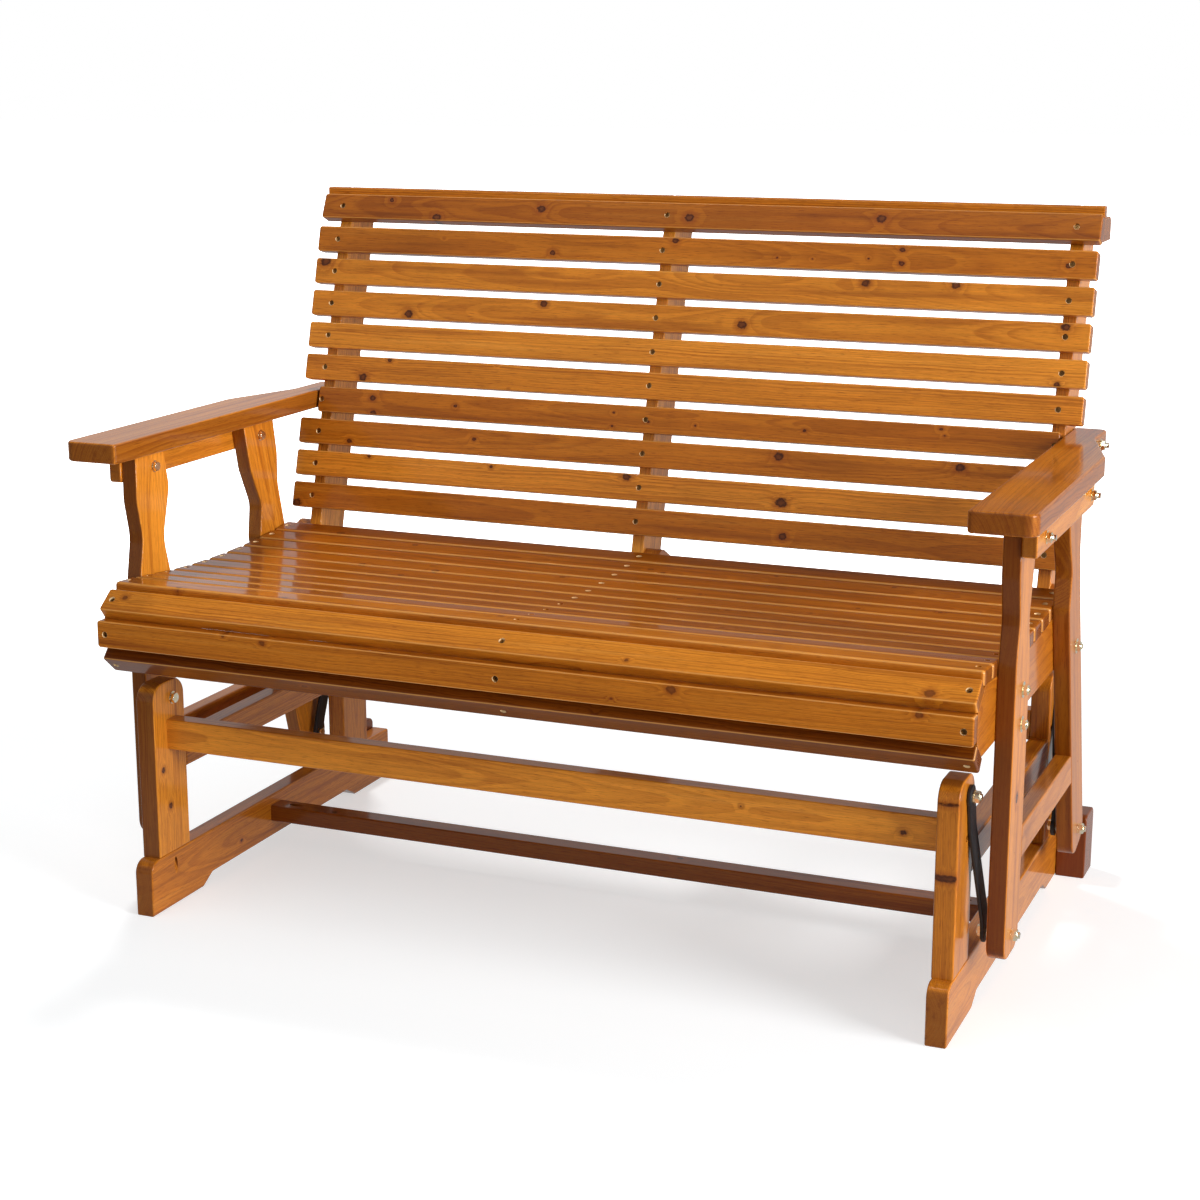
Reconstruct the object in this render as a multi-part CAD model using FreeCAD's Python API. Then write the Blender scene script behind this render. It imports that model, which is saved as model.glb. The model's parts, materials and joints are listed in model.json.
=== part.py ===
import FreeCAD
import Part
import math
import os

V = FreeCAD.Vector

# Millimetres. X runs along the bench, Y runs back from the front face of the base posts, Z up from the floor.
# The finished bench is moved at the end so that its origin is the middle of its footprint.

# Length of the bench, and the room at each side between the fixed base and the legs of the seat
BENCH_HALF = 581.5
SWING_ROOM = 23.5

# Base frame
BASE_BOARD = 27.0
POST_WIDTH = 75.0
POST_TOP = 316.0
POST_CORNER = 25.0
REAR_POST_FRONT = 515.0
RUNNER_HEIGHT = 76.0
RUNNER_TOE = 21.0
RUNNER_REAR = 660.0
RUNNER_TOE_CORNER = 18.0
RUNNER_REAR_CORNER = 3.0
FRONT_FOOT_END = 104.0
REAR_FOOT_START = 546.0
ARCH_HEIGHT = 14.0
ARCH_RAMP = 25.0
ARCH_CORNER = 10.0
SIDE_RAIL_BOTTOM = 186.0
SIDE_RAIL_HEIGHT = 40.0
STRETCHER_BOTTOM = 222.0
STRETCHER_HEIGHT = 42.0
STRETCHER_THICK = 25.0
STRETCHER_SETBACK = 30.0
STRETCHER_END_EASE = 0.5
LOW_STRETCHER_FRONT = 290.0
LOW_STRETCHER_WIDTH = 31.0
LOW_STRETCHER_BOTTOM = 37.0
LOW_STRETCHER_THICK = 24.0
FOOT_BLOCK_THICK = 41.0
FOOT_BLOCK_DEPTH = 54.0
FOOT_BLOCK_HEIGHT = 92.0
FOOT_BLOCK_CORNER = 10.0
EDGE_EASE = 2.5

# Swing linkage
HANGER_TOP_DROP = 25.0
FRONT_PIVOT_SHIFT = 7.5
REAR_PIVOT_SHIFT = 2.5
HANGER_DROP = 183.0
HANGER_LEAN = 48.0
HANGER_THICK = 5.0
HANGER_WIDTH = 25.0
HANGER_EYE_RADIUS = 14.0
HANGER_UPPER_STRAIGHT = 45.0
HANGER_LOWER_STRAIGHT = 22.0
SPACER_NUT = 6.7
BODY_GAP = 0.3
PIVOT_RADIUS = 4.0
PIVOT_CLEARANCE = 0.08
REAR_EYE_PLAY = 2.6

# Seat slats. The last nine lie on a dished curve, and the front one lies flatter and a little lower.
SLAT_THICK = 18.0
SLAT_CORNER = 4.0
SLAT_EDGE = 2.5
SLAT_BACK_EDGE = 0.8
SLAT_REST = 0.15
SEAT_SLAT_COUNT = 10
SEAT_SLAT_WIDTH = 40.0
SEAT_SLAT_PITCH = 45.8
SEAT_SLAT_CORNER = 5.5
SEAT_SLAT_EDGE = 4.5
SEAT_LOW_Y = 250.0
SEAT_LOW_Z = 441.5
SEAT_CURVE = 1780.0
SECOND_SLAT_Y = 63.3
FRONT_SLAT_STEP = 44.3
FRONT_SLAT_SINK = 1.5
FRONT_SLAT_TURN = -3.0

# Slats that roll over the front, as (forward and below the front seat slat, turn about X)
ROLL_SLAT_WIDTH = 36.0
ROLL_SLATS = ((44.3, 16.7, 37.5), (64.8, 59.7, 90.0), (42.5, 106.5, 139.0))

# Seat supports
SUPPORT_BOARD = 24.0
SUPPORT_DEPTH = 86.5
SUPPORT_EASE = 0.8
SUPPORT_CORNER = 8.0
SUPPORT_NOSE_CORNER = 2.0
SUPPORT_CHIN_CORNER = 4.0
SUPPORT_TAIL = 110.3
HORN_START = 23.3
HORN_PEAK = 62.3
HORN_RISE = 16.0
HORN_FALL = 26.0
HORN_CORNER = 20.0
CENTRE_JOINT = -20.0

# Back
BACK_RECLINE = 15.0
BACK_SETBACK = 38.9
BACK_RISE = 49.8
BACK_SLAT_COUNT = 10
BACK_SLAT_WIDTH = 38.0
BACK_SLAT_PITCH = 48.1
BACK_POST_BOARD = 18.0
BACK_POST_DEPTH = 72.5
BACK_POST_CORNER = 6.0
BACK_POST_FOOT_CORNER = 4.0
BACK_POST_EASE = 1.5
TOP_SLAT_BACK = 18.3
TOP_SLAT_RISE = 48.0
TOP_SLAT_RECLINE = 25.0
TOP_RAIL_DROP = 22.0
TOP_RAIL_DEPTH = 67.3
TOP_RAIL_INSET = 1.5
TOP_RAIL_CORNER = 10.0
TOP_RAIL_LOW_CORNER = 3.0
RAIL_EASE = 1.0
CAP_HEIGHT = 16.3
CAP_DEPTH = 16.0
CAP_LIP = 7.7
CAP_CORNER = 3.0

# Legs. A waist is a list of corners as (inset from the leg's side, drop below the armrest, radius).
LEG_BOARD = 22.5
LEG_FOOT_CORNER = 22.0
ARM_BOTTOM = 616.0
FRONT_LEG_FRONT = 60.0
FRONT_LEG_WIDTH = 75.0
FRONT_LEG_BOTTOM = 81.0
FRONT_LEG_WAIST = ((2.0, 0.0, 0.0), (0.0, 64.0, 60.0), (11.0, 116.0, 60.0), (0.0, 171.0, 60.0))
FRONT_LEG_BACK_WAIST = ((0.0, 176.0, 60.0), (14.0, 124.0, 60.0), (-5.0, 56.0, 40.0), (7.0, 0.0, 0.0))
REAR_LEG_SHOULDER = 372.0
REAR_LEG_SHOULDER_DROP = 176.0
REAR_LEG_RAKE = 111.0
REAR_LEG_BOTTOM = 70.0
REAR_LEG_WIDTH = 71.0
REAR_LEG_WAIST = ((-36.0, 0.0, 0.0), (-20.0, 71.0, 40.0), (7.0, 126.0, 30.0), (0.0, 176.0, 30.0))
REAR_LEG_BACK_WAIST = ((0.0, 176.0, 60.0), (19.0, 101.0, 60.0), (18.0, 56.0, 60.0), (28.0, 0.0, 0.0))
LEG_RAIL_BOTTOM = 190.0
LEG_RAIL_HEIGHT = 41.0

# Arms
ARM_RAIL_THICK = 18.0
ARM_RAIL_HEIGHT = 40.5
ARM_RAIL_FRONT = 58.0
ARM_RAIL_REAR = 405.0
ARM_RAIL_CORNER = 5.0
ARM_THICK = 26.5
ARM_OVERHANG = 15.0
ARM_FRONT = -20.0
ARM_TAIL = 53.0
ARM_EASE = 3.5
ARM_SCOOP_START = 385.0
ARM_SCOOP_LEAD = 33.0
ARM_SCOOP_DEPTH = 36.0
ARM_SCOOP_SHOULDER = 40.0
ARM_SCOOP_HOLLOW = 60.0
ARM_FRONT_CORNER = 16.0
ARM_FRONT_INNER_CORNER = 6.0
ARM_REAR_CORNER = 10.0
ARM_REAR_INNER_CORNER = 3.0
ARM_SLAT_GAP = 3.0

# Wood screws
SCREW_HEAD_RADIUS = 3.7
SCREW_HEAD_HEIGHT = 2.6
SCREW_RADIUS = 2.0
SCREW_TIP = 6.0
SCREW_TIP_RADIUS = 0.2
SCREW_ROOM = 0.15
SCREW_RECESS = 1.2
SCREW_RECESS_REACH = 2.0
SCREW_RECESS_WIDTH = 0.9
COUNTERBORE_RADIUS = 4.0
BORE_REACH = 1.0
SLAT_SCREW = 34.0
SLAT_COUNTERBORE = 5.0
FRAME_SCREW = 50.0
FRAME_COUNTERBORE = 10.0
STRETCHER_COUNTERBORE = 8.0
STRETCHER_SCREW_RISE = 17.0
POCKET_SCREW = 45.0
POCKET_DEPTH = 22.0
POCKET_REACH = 14.0
POCKET_ANGLE = 18.0
FOOT_SCREW_RISES = (27.0, 57.0)
CAP_SCREW = 30.0
CAP_COUNTERBORE = 4.0
CAP_SCREW_WALL = 1.2
RAIL_COUNTERBORE = 6.0
RAIL_SCREW_SETBACK = 19.0
ARM_SCREW = 40.0
ARM_SCREW_BITE = 22.0
ARM_SCREW_FRONT = 110.0
ARM_SCREW_REAR = 90.0
POST_SCREW = 32.0
POST_COUNTERBORE = 2.8
POST_SCREW_RISES = (22.0, 62.0)
POST_SCREW_SETBACK = 28.0

# Bolts, with their nuts and washers
NUT_WALL = 2.5
NUT_CHAMFER = 1.0
NUT_ROOM = 0.02
WASHER_THICK = 1.6
WASHER_ROOM = 0.1
PIVOT_HEAD = 5.2
PIVOT_NUT = 6.5
PIVOT_TOP_RIM = 4.4
PIVOT_TOP_STICKOUT = 2.0
PIVOT_LOW_RIM = 3.0
PIVOT_LOW_STICKOUT = 3.0
BOLT_RADIUS = 3.5
BOLT_ROOM = 0.25
BOLT_HEAD = 4.5
BOLT_NUT = 5.4
LEG_BOLT_RIM = 6.5
LEG_BOLT_STICKOUT = 1.0
FRONT_LEG_BOLT_RISES = (14.0, 56.0)
REAR_LEG_BOLT_RISE = 29.0
ARM_BOLT_RIM = 4.5
ARM_BOLT_STICKOUT = 5.0
ARM_BOLT_RISE = 17.5
ARM_BOLT_FRONT_SHIFT = 6.5
ARM_BOLT_REAR_SHIFT = 8.0
POST_BOLT_SETBACK = 20.7

# Sizes worked out from the ones above
base_outer = BENCH_HALF - SWING_ROOM
base_inner = base_outer - BASE_BOARD
runner_front = -RUNNER_TOE
support_inner = BENCH_HALF - SUPPORT_BOARD
support_bottom = SEAT_LOW_Z - SUPPORT_DEPTH
post_outer = support_inner
post_inner = post_outer - BACK_POST_BOARD
centre_post = CENTRE_JOINT - BACK_POST_BOARD
leg_outer = BENCH_HALF + LEG_BOARD
arm_rail_outer = leg_outer + ARM_RAIL_THICK
arm_outer = arm_rail_outer + ARM_OVERHANG
arm_inner = post_outer
arm_top = ARM_BOTTOM + ARM_THICK
arm_middle = ARM_BOTTOM + ARM_THICK / 2
hanger_top_x = base_outer + BODY_GAP
hanger_low_x = BENCH_HALF - SPACER_NUT - BODY_GAP - HANGER_THICK
hanger_top_z = POST_TOP - HANGER_TOP_DROP
hanger_length = math.hypot(HANGER_DROP, HANGER_LEAN)
hanger_tilt = math.degrees(math.atan2(HANGER_LEAN, HANGER_DROP))
front_pivot_y = POST_WIDTH / 2 + FRONT_PIVOT_SHIFT
rear_pivot_y = REAR_POST_FRONT + POST_WIDTH / 2 + REAR_PIVOT_SHIFT
low_pivot_z = hanger_top_z - HANGER_DROP
front_low_y = front_pivot_y + HANGER_LEAN
rear_low_y = rear_pivot_y - HANGER_LEAN
tiny = 0.001


def rounded_outline(corners):
    """A flat outline in the YZ plane through (y, z, radius) corners, each one rounded by its radius."""
    spots = []
    count = len(corners)
    for index in range(count):
        y, z, radius = corners[index]
        here = V(0, y, z)
        before = V(0, corners[index - 1][0], corners[index - 1][1]) - here
        after = V(0, corners[(index + 1) % count][0], corners[(index + 1) % count][1]) - here
        before.normalize()
        after.normalize()
        if radius == 0:
            spots.append((here, here, here))
            continue
        half = before.getAngle(after) / 2
        tangent = radius / math.tan(half)
        middle = before + after
        middle.normalize()
        crown = middle * (radius / math.sin(half) - radius)
        spots.append((here + before * tangent, here + crown, here + after * tangent))
    edges = []
    for index in range(count):
        start, crown, end = spots[index]
        if start.distanceToPoint(end) > tiny:
            edges.append(Part.Arc(start, crown, end).toShape())
        following = spots[(index + 1) % count][0]
        if end.distanceToPoint(following) > tiny:
            edges.append(Part.LineSegment(end, following).toShape())
    return Part.Face(Part.Wire(edges))


def eased(solid, radius):
    """Round over the edges of both faces of a board that is cut out square to X."""
    rims = [edge for edge in solid.Edges if edge.BoundBox.XLength < tiny]
    return solid.makeFillet(radius, rims)


def panel(corners, low_x, high_x, ease=EDGE_EASE):
    """A board whose outline lies in the YZ plane, from one X to another."""
    face = rounded_outline(corners)
    face.translate(V(low_x, 0, 0))
    return eased(face.extrude(V(high_x - low_x, 0, 0)), ease)


def square_corners(low_y, high_y, low_z, high_z, radius=0.0):
    return [(low_y, low_z, radius), (high_y, low_z, radius), (high_y, high_z, radius), (low_y, high_z, radius)]


def rod(low_x, high_x, radius, y, z):
    return Part.makeCylinder(radius, high_x - low_x, V(low_x, y, z), V(1, 0, 0))


def hex_block(low_x, high_x, across, y, z):
    """A hexagonal nut or head with its corners turned off at both ends."""
    corner = across / math.sqrt(3)
    points = [V(low_x, y + corner * math.cos(math.radians(a)), z + corner * math.sin(math.radians(a)))
              for a in range(0, 361, 60)]
    prism = Part.Face(Part.makePolygon(points)).extrude(V(high_x - low_x, 0, 0))
    barrel = rod(low_x, high_x, corner, y, z)
    return prism.common(barrel.makeChamfer(NUT_CHAMFER, [edge for edge in barrel.Edges if edge.Closed]))


def mirrored(shape):
    return shape.mirror(V(0, 0, 0), V(1, 0, 0))


def turned(shape, point, outward):
    """Place a shape made along +Z so that it points outward from a point."""
    copy = shape.copy()
    copy.Placement = FreeCAD.Placement(point, FreeCAD.Rotation(V(0, 0, 1), outward))
    return copy


def meet(first, second):
    """Where two lines cross in the YZ plane, each given as a point and a direction."""
    (y1, z1), (dy1, dz1) = first
    (y2, z2), (dy2, dz2) = second
    along = ((y2 - y1) * dz2 - (z2 - z1) * dy2) / (dy1 * dz2 - dz1 * dy2)
    return (y1 + dy1 * along, z1 + dz1 * along)


def level(z):
    return ((0, z), (1, 0))


def upright(y):
    return ((y, 0), (0, 1))


class Slat:
    """A slat given by the middle of its face and its turn about X, from level at 0 to upright at 90 degrees."""

    def __init__(self, y, z, turn, width, half_length=BENCH_HALF, corner=SLAT_CORNER, edge=SLAT_EDGE):
        angle = math.radians(turn)
        self.y = y
        self.z = z
        self.turn = turn
        self.width = width
        self.half_length = half_length
        self.corner = corner
        self.edge = edge
        self.along = (math.cos(angle), math.sin(angle))
        self.out = (-math.sin(angle), math.cos(angle))

    def back_line(self, gap):
        """The line of the slat's back, a gap further out than the wood."""
        depth = SLAT_THICK + gap
        return ((self.y - self.out[0] * depth, self.z - self.out[1] * depth), self.along)

    def edge_line(self, gap):
        """The line of the slat's upper edge, a gap further out than the wood."""
        reach = self.width / 2 + gap
        return ((self.y + self.along[0] * reach, self.z + self.along[1] * reach), self.out)

    def solid(self):
        board = Part.makeBox(2 * self.half_length, self.width, SLAT_THICK,
                             V(-self.half_length, -self.width / 2, -SLAT_THICK))
        uprights = [edge for edge in board.Edges if edge.BoundBox.ZLength > SLAT_THICK / 2]
        board = board.makeFillet(self.corner, uprights)
        for height, radius in ((0, self.edge), (-SLAT_THICK, SLAT_BACK_EDGE)):
            rim = [edge for edge in board.Edges if abs(edge.CenterOfMass.z - height) < tiny]
            board = board.makeFillet(radius, rim)
        board.rotate(V(0, 0, 0), V(1, 0, 0), self.turn)
        board.translate(V(0, self.y, self.z))
        return board

    def face_point(self, x):
        return V(x, self.y, self.z)

    def outward(self):
        return V(0, self.out[0], self.out[1])


# Slat places
def seat_curve_turn(y):
    return math.asin((y - SEAT_LOW_Y) / SEAT_CURVE)


def seat_curve_z(y):
    return SEAT_LOW_Z + SEAT_CURVE * (1 - math.cos(seat_curve_turn(y)))


def seat_slat(index):
    """A slat of the seat, counted from the rear."""
    if index == SEAT_SLAT_COUNT - 1:
        y = SECOND_SLAT_Y - FRONT_SLAT_STEP
        z = seat_curve_z(y) - FRONT_SLAT_SINK
        turn = FRONT_SLAT_TURN
    else:
        y = SECOND_SLAT_Y + (SEAT_SLAT_COUNT - 2 - index) * SEAT_SLAT_PITCH
        z = seat_curve_z(y)
        turn = math.degrees(seat_curve_turn(y))
    return Slat(y, z, turn, SEAT_SLAT_WIDTH, corner=SEAT_SLAT_CORNER, edge=SEAT_SLAT_EDGE)


seat_slats = [seat_slat(index) for index in range(SEAT_SLAT_COUNT)]
rear_slat = seat_slats[0]
second_slat = seat_slats[-2]
front_slat = seat_slats[-1]
roll_slats = [Slat(front_slat.y - forward, front_slat.z - below, turn, ROLL_SLAT_WIDTH)
              for forward, below, turn in ROLL_SLATS]


def back_slat(index):
    """A slat of the back, counted from the top. The top one is tipped back further than the rest."""
    rise = (BACK_SLAT_COUNT - 1 - max(index, 1)) * BACK_SLAT_PITCH
    lean = math.radians(BACK_RECLINE)
    y = rear_slat.y + BACK_SETBACK + rise * math.sin(lean)
    z = SEAT_LOW_Z + BACK_RISE + rise * math.cos(lean)
    if index == 0:
        return Slat(y + TOP_SLAT_BACK, z + TOP_SLAT_RISE, 90 - TOP_SLAT_RECLINE, BACK_SLAT_WIDTH)
    meets_arm = abs(z - arm_middle) < (BACK_SLAT_WIDTH + ARM_THICK) / 2
    half_length = arm_inner - ARM_SLAT_GAP if meets_arm else BENCH_HALF
    return Slat(y, z, 90 - BACK_RECLINE, BACK_SLAT_WIDTH, half_length)


back_slats = [back_slat(index) for index in range(BACK_SLAT_COUNT)]

# Boards, listed by body and node
base_wood = {}
seat_wood = {}


def both_sides(boards, name, solid, plain="{side}_{name}"):
    boards[plain.format(side="right", name=name)] = [solid]
    boards[plain.format(side="left", name=name)] = [mirrored(solid)]


# Base frame
runner = panel([
    (runner_front, 0, 0),
    (FRONT_FOOT_END, 0, 0),
    (FRONT_FOOT_END + ARCH_RAMP, ARCH_HEIGHT, ARCH_CORNER),
    (REAR_FOOT_START - ARCH_RAMP, ARCH_HEIGHT, ARCH_CORNER),
    (REAR_FOOT_START, 0, 0),
    (RUNNER_REAR, 0, 0),
    (RUNNER_REAR, RUNNER_HEIGHT, RUNNER_REAR_CORNER),
    (runner_front, RUNNER_HEIGHT, RUNNER_TOE_CORNER),
], base_inner, base_outer)
both_sides(base_wood, "runner", runner)


def base_post(front):
    return panel([
        (front, RUNNER_HEIGHT, 0),
        (front + POST_WIDTH, RUNNER_HEIGHT, 0),
        (front + POST_WIDTH, POST_TOP, POST_CORNER),
        (front, POST_TOP, POST_CORNER),
    ], base_inner, base_outer)


both_sides(base_wood, "post", base_post(0.0), "front_{side}_{name}")
both_sides(base_wood, "post", base_post(REAR_POST_FRONT), "rear_{side}_{name}")

side_rail_top = SIDE_RAIL_BOTTOM + SIDE_RAIL_HEIGHT
side_rail = panel(square_corners(POST_WIDTH, REAR_POST_FRONT, SIDE_RAIL_BOTTOM, side_rail_top),
                  base_inner, base_outer)
both_sides(base_wood, "side_rail", side_rail)


def stretcher(front, width, bottom, height):
    """A board between the two sides of the base."""
    outline = square_corners(front, front + width, bottom, bottom + height, EDGE_EASE)
    return panel(outline, -base_inner, base_inner, STRETCHER_END_EASE)


for name, front in (("front_stretcher", STRETCHER_SETBACK), ("rear_stretcher", REAR_POST_FRONT)):
    base_wood[name] = [stretcher(front, STRETCHER_THICK, STRETCHER_BOTTOM, STRETCHER_HEIGHT)]
base_wood["lower_stretcher"] = [stretcher(LOW_STRETCHER_FRONT, LOW_STRETCHER_WIDTH,
                                          LOW_STRETCHER_BOTTOM, LOW_STRETCHER_THICK)]

foot_block_front = RUNNER_REAR - FOOT_BLOCK_DEPTH
foot_block = panel([
    (foot_block_front, 0, 0),
    (RUNNER_REAR, 0, 0),
    (RUNNER_REAR, FOOT_BLOCK_HEIGHT, FOOT_BLOCK_CORNER),
    (foot_block_front, FOOT_BLOCK_HEIGHT, FOOT_BLOCK_CORNER),
], base_outer, base_outer + FOOT_BLOCK_THICK)
base_wood["rear_foot_blocks"] = [foot_block, mirrored(foot_block)]

# Legs and the rails between them
front_leg_rear = FRONT_LEG_FRONT + FRONT_LEG_WIDTH


def waist(side_y, way, corners):
    """The corners of a leg's shaped upper part, on the side that lies at side_y, with insets the given way."""
    return [(side_y + way * inset, ARM_BOTTOM - drop, radius) for inset, drop, radius in corners]


front_leg = panel(waist(FRONT_LEG_FRONT, 1, FRONT_LEG_WAIST) + [
    (FRONT_LEG_FRONT, FRONT_LEG_BOTTOM, LEG_FOOT_CORNER),
    (front_leg_rear, FRONT_LEG_BOTTOM, LEG_FOOT_CORNER),
] + waist(front_leg_rear, -1, FRONT_LEG_BACK_WAIST), BENCH_HALF, leg_outer)
both_sides(seat_wood, "leg", front_leg, "front_{side}_{name}")

shoulder_z = ARM_BOTTOM - REAR_LEG_SHOULDER_DROP
rear_leg_slope = REAR_LEG_RAKE / (shoulder_z - REAR_LEG_BOTTOM)
rear_leg_angle = math.atan(rear_leg_slope)
rear_leg_across = REAR_LEG_WIDTH / math.cos(rear_leg_angle)


def rear_leg_front(z):
    return REAR_LEG_SHOULDER + (shoulder_z - z) * rear_leg_slope


toe = (rear_leg_front(REAR_LEG_BOTTOM), REAR_LEG_BOTTOM)
heel = (toe[0] + REAR_LEG_WIDTH * math.cos(rear_leg_angle), toe[1] + REAR_LEG_WIDTH * math.sin(rear_leg_angle))
rear_leg = panel(waist(REAR_LEG_SHOULDER, 1, REAR_LEG_WAIST) + [
    (toe[0], toe[1], LEG_FOOT_CORNER),
    (heel[0], heel[1], LEG_FOOT_CORNER),
] + waist(REAR_LEG_SHOULDER + rear_leg_across, -1, REAR_LEG_BACK_WAIST), BENCH_HALF, leg_outer)
both_sides(seat_wood, "leg", rear_leg, "rear_{side}_{name}")

leg_rail_top = LEG_RAIL_BOTTOM + LEG_RAIL_HEIGHT
leg_rail = panel([
    (front_leg_rear, LEG_RAIL_BOTTOM, 0),
    (rear_leg_front(LEG_RAIL_BOTTOM), LEG_RAIL_BOTTOM, 0),
    (rear_leg_front(leg_rail_top), leg_rail_top, 0),
    (front_leg_rear, leg_rail_top, 0),
], BENCH_HALF, leg_outer)
seat_wood["leg_rails"] = [leg_rail, mirrored(leg_rail)]

arm_rail_bottom = ARM_BOTTOM - ARM_RAIL_HEIGHT
arm_rail = panel([
    (ARM_RAIL_FRONT, arm_rail_bottom, ARM_RAIL_CORNER),
    (ARM_RAIL_REAR, arm_rail_bottom, ARM_RAIL_CORNER),
    (ARM_RAIL_REAR, ARM_BOTTOM, 0),
    (ARM_RAIL_FRONT, ARM_BOTTOM, 0),
], leg_outer, arm_rail_outer)
seat_wood["arm_rails"] = [arm_rail, mirrored(arm_rail)]

# Back posts
post_face = back_slats[-1].back_line(SLAT_REST)
post_rear = back_slats[-1].back_line(SLAT_REST + BACK_POST_DEPTH)
top_face = back_slats[0].back_line(SLAT_REST)
top_rail_bottom = back_slats[0].z - TOP_RAIL_DROP
post_bend = meet(post_face, top_face)
post_outline = [
    (meet(post_face, level(support_bottom))[0], support_bottom, BACK_POST_FOOT_CORNER),
    (meet(post_rear, level(support_bottom))[0], support_bottom, BACK_POST_CORNER),
    (meet(post_rear, level(top_rail_bottom))[0], top_rail_bottom, BACK_POST_CORNER),
    (meet(top_face, level(top_rail_bottom))[0], top_rail_bottom, 0),
    (post_bend[0], post_bend[1], 0),
]
for name, low_x in (("left_back_post", -post_outer),
                    ("centre_back_post", centre_post),
                    ("right_back_post", post_inner)):
    seat_wood[name] = [panel(post_outline, low_x, low_x + BACK_POST_BOARD, BACK_POST_EASE)]
post_bolt_y = meet(post_face, level(arm_middle))[0] + POST_BOLT_SETBACK

# Armrests, drawn flat and turned to lie level
arm_waist = arm_outer - ARM_SCOOP_DEPTH
armrest = panel([
    (ARM_FRONT, arm_inner, ARM_FRONT_INNER_CORNER),
    (post_bolt_y + ARM_TAIL, arm_inner, ARM_REAR_INNER_CORNER),
    (post_bolt_y + ARM_TAIL, arm_waist, ARM_REAR_CORNER),
    (post_bolt_y - ARM_SCOOP_LEAD, arm_waist, ARM_SCOOP_HOLLOW),
    (ARM_SCOOP_START, arm_outer, ARM_SCOOP_SHOULDER),
    (ARM_FRONT, arm_outer, ARM_FRONT_CORNER),
], 0, ARM_THICK, ARM_EASE)
armrest.rotate(V(0, 0, 0), V(0, 1, 0), 90)
armrest.translate(V(0, 0, arm_top))
both_sides(seat_wood, "armrest", armrest)

# Seat supports, cut to the dished curve under the slats and to the slats that roll over the front
horn_y = rear_slat.y + HORN_START
under_curve = SEAT_CURVE + SLAT_THICK + SLAT_REST
horn_turn = math.asin((horn_y - SEAT_LOW_Y) / under_curve)
horn_z = SEAT_LOW_Z + SEAT_CURVE - under_curve * math.cos(horn_turn)
horn_line = ((horn_y, horn_z), (math.cos(horn_turn), math.sin(horn_turn)))
second_under = second_slat.back_line(SLAT_REST)
front_under = front_slat.back_line(SLAT_REST)
nose = [roll.back_line(SLAT_REST) for roll in roll_slats]
support_rear = rear_slat.y + SUPPORT_TAIL
dish = meet(second_under, horn_line)
crest = meet(second_under, front_under)
brow = meet(front_under, nose[0])
upper_cheek = meet(nose[0], nose[1])
lower_cheek = meet(nose[1], nose[2])
chin = meet(nose[2], level(support_bottom))
support_outline = [
    (chin[0], support_bottom, SUPPORT_CHIN_CORNER),
    (support_rear, support_bottom, SUPPORT_CORNER),
    (support_rear, horn_z + HORN_RISE - HORN_FALL, HORN_CORNER),
    (rear_slat.y + HORN_PEAK, horn_z + HORN_RISE, HORN_CORNER),
    (horn_y, horn_z, 0),
    (dish[0], dish[1], under_curve),
    (crest[0], crest[1], 0),
    (brow[0], brow[1], SUPPORT_NOSE_CORNER),
    (upper_cheek[0], upper_cheek[1], SUPPORT_NOSE_CORNER),
    (lower_cheek[0], lower_cheek[1], SUPPORT_NOSE_CORNER),
]
for name, low_x in (("left_seat_support", -BENCH_HALF),
                    ("centre_seat_support", CENTRE_JOINT),
                    ("right_seat_support", support_inner)):
    seat_wood[name] = [panel(support_outline, low_x, low_x + SUPPORT_BOARD, SUPPORT_EASE)]

# Top rail behind the top slat, as high as the slat, and the cap strip that covers the joint between them
slat_end = back_slats[0].edge_line(SLAT_REST)
rail_low = meet(top_face, level(top_rail_bottom))
rail_high = meet(top_face, slat_end)
top_rail_top = rail_high[1]
top_rail_rear = rail_low[0] + TOP_RAIL_DEPTH
top_rail_half = BENCH_HALF - TOP_RAIL_INSET
seat_wood["back_top_rail"] = [panel([
    (rail_low[0], top_rail_bottom, 0),
    (top_rail_rear, top_rail_bottom, TOP_RAIL_LOW_CORNER),
    (top_rail_rear, top_rail_top, TOP_RAIL_CORNER),
    (rail_high[0], top_rail_top, 0),
], -top_rail_half, top_rail_half, RAIL_EASE)]
cap_front = rail_high[0] - CAP_LIP
cap_rear = cap_front + CAP_DEPTH
cap_top = top_rail_top + CAP_HEIGHT
cap_lip = meet(slat_end, upright(cap_front))
seat_wood["back_cap_strip"] = [panel([
    (rail_high[0], top_rail_top, 0),
    (cap_rear, top_rail_top, 0),
    (cap_rear, cap_top, CAP_CORNER),
    (cap_front, cap_top, CAP_CORNER),
    (cap_front, cap_lip[1], 0),
], -BENCH_HALF, BENCH_HALF, RAIL_EASE)]

# Slats
for plain, slats in (("back_slat_", back_slats), ("seat_slat_", seat_slats), ("roll_slat_", roll_slats)):
    for index, slat in enumerate(slats):
        seat_wood[plain + str(index + 1)] = [slat.solid()]


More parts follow.
